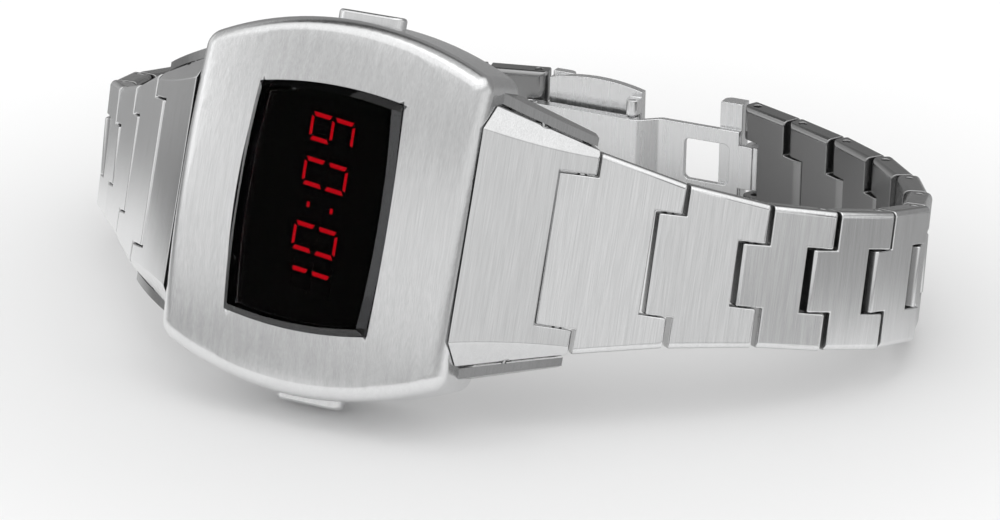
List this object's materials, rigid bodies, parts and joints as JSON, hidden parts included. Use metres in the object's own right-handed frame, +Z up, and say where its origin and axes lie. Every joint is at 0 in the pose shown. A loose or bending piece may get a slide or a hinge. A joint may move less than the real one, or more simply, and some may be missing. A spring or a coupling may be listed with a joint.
{
  "type": "digital wristwatch",
  "caption": "Cushion-shaped digital wristwatch with a lit display, tapering steel link bracelet and folding clasp, standing on its side.",
  "frame": {"origin": "centre of the closed watch's footprint, on the surface that it stands on", "axes": "+X from 12 to 6 o'clock across the closed bracelet, +Y from the display to the clasp, +Z up, along the standing clasp"},
  "size_m": [0.1008, 0.079, 0.0413],
  "materials": {
    "brushed_steel": "brushed across the band, with softened edges",
    "plain_steel": "turned and pressed, plain",
    "crystal_glass": "polished",
    "black_display": "smooth black",
    "lit_red": "lit red",
    "board_green": "matte",
    "module_plastic": "matte",
    "seal_rubber": "matte"
  },
  "bodies": {
    "head": {"case_body": "brushed_steel", "crystal": "crystal_glass", "crystal_gasket": "seal_rubber", "display_panel": "black_display", "lit_segments": "lit_red", "dark_segments": "black_display", "circuit_board": "board_green", "module_holder": "module_plastic", "battery_cell": "plain_steel", "battery_strap": "plain_steel", "module_screws": "plain_steel", "case_back": "brushed_steel", "back_gasket": "seal_rubber", "back_screws": "plain_steel", "end_link_six": "brushed_steel", "end_link_twelve": "brushed_steel", "end_link_bars": "plain_steel", "button_springs": "plain_steel", "button_seals": "seal_rubber"},
    "six_01": {"link_six_01": "brushed_steel"},
    "six_02": {"link_six_02": "brushed_steel"},
    "six_03": {"link_six_03": "brushed_steel"},
    "six_04": {"link_six_04": "brushed_steel"},
    "six_05": {"link_six_05": "brushed_steel"},
    "six_06": {"link_six_06": "brushed_steel"},
    "six_07": {"link_six_07": "brushed_steel"},
    "six_08": {"link_six_08": "brushed_steel"},
    "six_09": {"link_six_09": "brushed_steel"},
    "six_10": {"link_six_10": "brushed_steel"},
    "six_11": {"link_six_11": "brushed_steel"},
    "twelve_01": {"link_twelve_01": "brushed_steel"},
    "twelve_02": {"link_twelve_02": "brushed_steel"},
    "twelve_03": {"link_twelve_03": "brushed_steel"},
    "twelve_04": {"link_twelve_04": "brushed_steel"},
    "twelve_05": {"link_twelve_05": "brushed_steel"},
    "twelve_06": {"link_twelve_06": "brushed_steel"},
    "twelve_07": {"link_twelve_07": "brushed_steel"},
    "twelve_08": {"link_twelve_08": "brushed_steel"},
    "twelve_09": {"link_twelve_09": "brushed_steel"},
    "twelve_10": {"link_twelve_10": "brushed_steel"},
    "twelve_11": {"link_twelve_11": "brushed_steel"},
    "cover": {"clasp_cover": "brushed_steel", "cover_end_piece": "brushed_steel", "cover_pin": "plain_steel"},
    "leaf": {"clasp_leaf": "brushed_steel", "leaf_pin": "plain_steel"},
    "blade": {"clasp_blade": "brushed_steel", "blade_end_piece": "brushed_steel", "blade_stud": "plain_steel", "blade_spring_bar": "plain_steel"},
    "button_three": {"button_three": "brushed_steel", "button_clip_three": "plain_steel"},
    "button_nine": {"button_nine": "brushed_steel", "button_clip_nine": "plain_steel"}
  },
  "joints": [
    {"name": "six_01_hinge", "type": "hinge", "parent": "head", "child": "six_01", "pos_m": [0.02193, -0.0233, 0.01919], "axis": [0, -0.3264, -0.9452], "range_deg": [0, 13.69]},
    {"name": "six_02_hinge", "type": "hinge", "parent": "six_01", "child": "six_02", "pos_m": [0.03031, -0.01815, 0.01742], "axis": [0, -0.2949, -0.9555], "range_deg": [0, 4.01]},
    {"name": "six_03_hinge", "type": "hinge", "parent": "six_02", "child": "six_03", "pos_m": [0.0379, -0.01269, 0.01573], "axis": [0, -0.2664, -0.9639], "range_deg": [0, 7.01]},
    {"name": "six_04_hinge", "type": "hinge", "parent": "six_03", "child": "six_04", "pos_m": [0.04351, -0.00747, 0.01429], "axis": [0, -0.2428, -0.9701], "range_deg": [0, 16.01]},
    {"name": "six_05_hinge", "type": "hinge", "parent": "six_04", "child": "six_05", "pos_m": [0.04741, -0.00091, 0.01265], "axis": [0, -0.2241, -0.9746], "range_deg": [0, 20]},
    {"name": "six_06_hinge", "type": "hinge", "parent": "six_05", "child": "six_06", "pos_m": [0.04876, 0.00657, 0.01093], "axis": [0, -0.19, -0.9818], "range_deg": [0, 26.01]},
    {"name": "six_07_hinge", "type": "hinge", "parent": "six_06", "child": "six_07", "pos_m": [0.04661, 0.01393, 0.0095], "axis": [0, -0.14, -0.9901], "range_deg": [0, 11.98]},
    {"name": "six_08_hinge", "type": "hinge", "parent": "six_07", "child": "six_08", "pos_m": [0.04295, 0.02075, 0.00854], "axis": [0, -0.088, -0.9961], "range_deg": [0, 12.97]},
    {"name": "six_09_hinge", "type": "hinge", "parent": "six_08", "child": "six_09", "pos_m": [0.03784, 0.02662, 0.00802], "axis": [0, -0.0358, -0.9994], "range_deg": [0, 14.96]},
    {"name": "six_10_hinge", "type": "hinge", "parent": "six_09", "child": "six_10", "pos_m": [0.03137, 0.03098, 0.00786], "axis": [0, -0.0114, -0.9999], "range_deg": [0, 6.99]},
    {"name": "six_11_hinge", "type": "hinge", "parent": "six_10", "child": "six_11", "pos_m": [0.02442, 0.03452, 0.00782], "axis": [0, -0.0096, -1], "range_deg": [0, 3]},
    {"name": "twelve_01_hinge", "type": "hinge", "parent": "head", "child": "twelve_01", "pos_m": [-0.02878, -0.0233, 0.01919], "axis": [0, 0.3379, 0.9412], "range_deg": [0, 1.3]},
    {"name": "twelve_02_hinge", "type": "hinge", "parent": "twelve_01", "child": "twelve_02", "pos_m": [-0.03547, -0.01631, 0.01668], "axis": [0, 0.3115, 0.9502], "range_deg": [0, 1.01]},
    {"name": "twelve_03_hinge", "type": "hinge", "parent": "twelve_02", "child": "twelve_03", "pos_m": [-0.0417, -0.00949, 0.01445], "axis": [0, 0.2647, 0.9643], "range_deg": [0, 2.03]},
    {"name": "twelve_04_hinge", "type": "hinge", "parent": "twelve_03", "child": "twelve_04", "pos_m": [-0.04661, -0.00365, 0.01285], "axis": [0, 0.2139, 0.9769], "range_deg": [0, 23.04]},
    {"name": "twelve_05_hinge", "type": "hinge", "parent": "twelve_04", "child": "twelve_05", "pos_m": [-0.04876, 0.00368, 0.01124], "axis": [0, 0.1745, 0.9847], "range_deg": [0, 23.01]},
    {"name": "twelve_06_hinge", "type": "hinge", "parent": "twelve_05", "child": "twelve_06", "pos_m": [-0.04781, 0.0113, 0.00989], "axis": [0, 0.1331, 0.9911], "range_deg": [0, 17.99]},
    {"name": "twelve_07_hinge", "type": "hinge", "parent": "twelve_06", "child": "twelve_07", "pos_m": [-0.04452, 0.01831, 0.00895], "axis": [0, 0.0915, 0.9958], "range_deg": [0, 14.98]},
    {"name": "twelve_08_hinge", "type": "hinge", "parent": "twelve_07", "child": "twelve_08", "pos_m": [-0.0395, 0.02426, 0.0084], "axis": [0, 0.0567, 0.9984], "range_deg": [0, 11.98]},
    {"name": "twelve_09_hinge", "type": "hinge", "parent": "twelve_08", "child": "twelve_09", "pos_m": [-0.03336, 0.02905, 0.00813], "axis": [0, 0.0323, 0.9995], "range_deg": [0, 9.99]},
    {"name": "twelve_10_hinge", "type": "hinge", "parent": "twelve_09", "child": "twelve_10", "pos_m": [-0.02647, 0.03271, 0.00801], "axis": [0, 0.0183, 0.9998], "range_deg": [0, 8]},
    {"name": "twelve_11_hinge", "type": "hinge", "parent": "twelve_10", "child": "twelve_11", "pos_m": [-0.01914, 0.03538, 0.00796], "axis": [0, 0.0096, 1], "range_deg": [0, 6]},
    {"name": "cover_hinge", "type": "hinge", "parent": "twelve_11", "child": "cover", "pos_m": [-0.01157, 0.03726, 0.00795], "axis": [0.0051, 0.0097, 0.9999], "range_deg": [0, 13.16]},
    {"name": "leaf_hinge", "type": "hinge", "parent": "cover", "child": "leaf", "pos_m": [0.00175, 0.03574, 0.00789], "axis": [0.0051, 0.0097, 0.9999], "range_deg": [0, 80]},
    {"name": "blade_hinge", "type": "hinge", "parent": "leaf", "child": "blade", "pos_m": [-0.01153, 0.03472, 0.00797], "axis": [-0.0051, -0.0097, -0.9999], "range_deg": [0, 160]},
    {"name": "button_three_press", "type": "slide", "parent": "head", "child": "button_three", "axis": [0, -0.3478, -0.9376], "range_m": [0, 0.0009], "stiffness_N_per_m": 2500, "springref_m": -0.0006},
    {"name": "button_nine_press", "type": "slide", "parent": "head", "child": "button_nine", "axis": [0, 0.3478, 0.9376], "range_m": [0, 0.0009], "stiffness_N_per_m": 2500, "springref_m": -0.0006}
  ],
  "couplings": [
    {"joint": "blade_hinge", "follows": "leaf_hinge", "ratio": 2}
  ]
}
